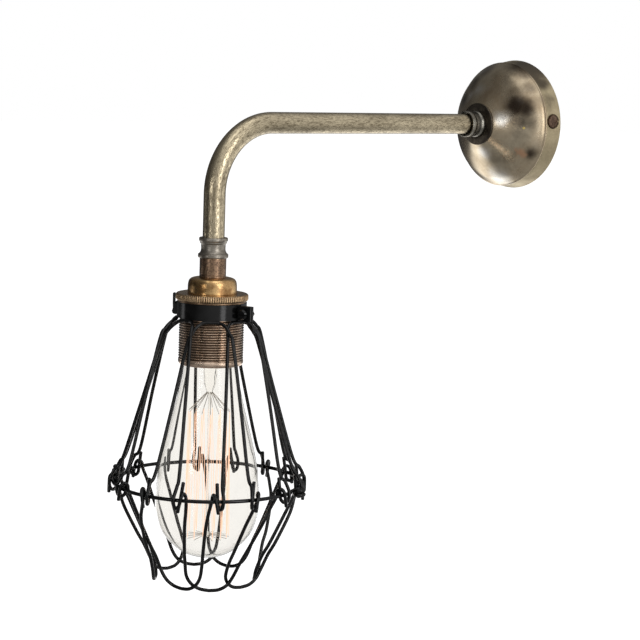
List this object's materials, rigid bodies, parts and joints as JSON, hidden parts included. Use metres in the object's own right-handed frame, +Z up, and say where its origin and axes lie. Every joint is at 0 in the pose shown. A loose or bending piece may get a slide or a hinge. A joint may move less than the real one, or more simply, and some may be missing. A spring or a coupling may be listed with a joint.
{
  "type": "cage wall light",
  "caption": "Wall light with a round rose, a swan arm, a threaded screw lampholder with a pear shaped filament bulb, and a hinged wire cage guard that opens for the bulb.",
  "frame": {"origin": "centre of the wall bracket's back face, in the wall plane, on the arm's axis", "axes": "+Y into the wall, so the arm runs along -Y; +Z up, the lamp hanging along -Z; +X to the right as seen from the room"},
  "size_m": [0.1186, 0.3098, 0.3171],
  "materials": {
    "bracket_steel": "satin zinc plate",
    "brass_fastener": "bright brass",
    "block_plastic": "matt white",
    "rose_pewter": "antique pewter over brass, dark blotches",
    "dark_disc": "blackened",
    "dark_screw": "dark bronze",
    "ferrule_brass": "turned, worn bright",
    "arm_metal": "antique silver grey, mottled",
    "coupling_silver": "worn silver",
    "sleeve_brown": "brown bronze",
    "dome_gold": "antique gold",
    "rim_brass": "coin edged antique gold",
    "skirt_copper": "copper bronze thread",
    "insert_ceramic": "matt white ceramic",
    "contact_brass": "bright brass",
    "core_brown": "brown insulation",
    "core_blue": "blue insulation",
    "core_green": "green and yellow insulation",
    "guard_black": "gloss black on steel wire",
    "bulb_clear": "clear with a warm tint",
    "cap_brass": "bright brass",
    "cap_black_glass": "black glass",
    "tip_solder": "tinned",
    "stem_clear": "clear",
    "support_wire": "nickel wire",
    "filament_glow": "glowing carbon thread"
  },
  "bodies": {
    "fixture": {"wall_bracket": "bracket_steel", "earth_screw": "brass_fastener", "terminal_block": "block_plastic", "block_screws": "brass_fastener", "rose_cover": "rose_pewter", "boss_disc": "dark_disc", "ferrule": "ferrule_brass", "lock_nuts": "brass_fastener", "upper_nipple": "brass_fastener", "arm_tube": "arm_metal", "coupling": "coupling_silver", "lower_nipple": "brass_fastener", "sleeve": "sleeve_brown", "holder_cap": "dome_gold", "coin_rim": "rim_brass", "shoulder_ring": "rim_brass", "threaded_skirt": "skirt_copper", "holder_insert": "insert_ceramic", "screw_shell": "contact_brass", "centre_contact": "contact_brass", "terminal_posts": "contact_brass", "terminal_screws": "brass_fastener", "wire_live": "core_brown", "wire_neutral": "core_blue", "wire_earth": "core_green", "collar_back": "guard_black", "hinge_pin": "guard_black", "clamp_nut": "guard_black", "ring_back": "guard_black", "hinge_rivet": "guard_black", "top_3": "guard_black", "top_4": "guard_black", "top_5": "guard_black", "top_6": "guard_black", "low_4": "guard_black", "low_5": "guard_black", "low_6": "guard_black", "low_ends_back": "guard_black"},
    "guard_front": {"collar_front": "guard_black", "hinge_tab": "guard_black", "ring_front": "guard_black", "top_1": "guard_black", "top_2": "guard_black", "top_7": "guard_black", "top_8": "guard_black", "low_1": "guard_black", "low_2": "guard_black", "low_8": "guard_black", "low_ends_front": "guard_black"},
    "clamp": {"clamp_screw": "guard_black"},
    "side_screw_right": {"rose_screw_right": "dark_screw"},
    "side_screw_left": {"rose_screw_left": "dark_screw"},
    "bulb": {"bulb_glass": "bulb_clear", "bulb_cap": "cap_brass", "cap_insulator": "cap_black_glass", "tip_contact": "tip_solder", "glass_stem": "stem_clear", "filament_supports": "support_wire", "filament": "filament_glow"}
  },
  "joints": [
    {"name": "guard_hinge", "type": "hinge", "parent": "fixture", "child": "guard_front", "pos_m": [-0.02112, -0.26103, -0.111], "axis": [-0.3035, -0.1513, -0.9407], "range_deg": [0, 95]},
    {"name": "clamp_turn", "type": "hinge", "parent": "guard_front", "child": "clamp", "pos_m": [0.02371, -0.24393, -0.1109], "axis": [0.3567, -0.9342, 0], "continuous": true},
    {"name": "right_screw_turn", "type": "hinge", "parent": "fixture", "child": "side_screw_right", "pos_m": [0.0389, -0.0057, 0.0035], "axis": [1, 0, 0], "continuous": true},
    {"name": "left_screw_turn", "type": "hinge", "parent": "fixture", "child": "side_screw_left", "pos_m": [-0.0389, -0.0057, 0.0035], "axis": [-1, 0, 0], "continuous": true},
    {"name": "bulb_out", "type": "slide", "parent": "fixture", "child": "bulb", "axis": [0, 0, -1], "range_m": [0, 0.014]}
  ]
}
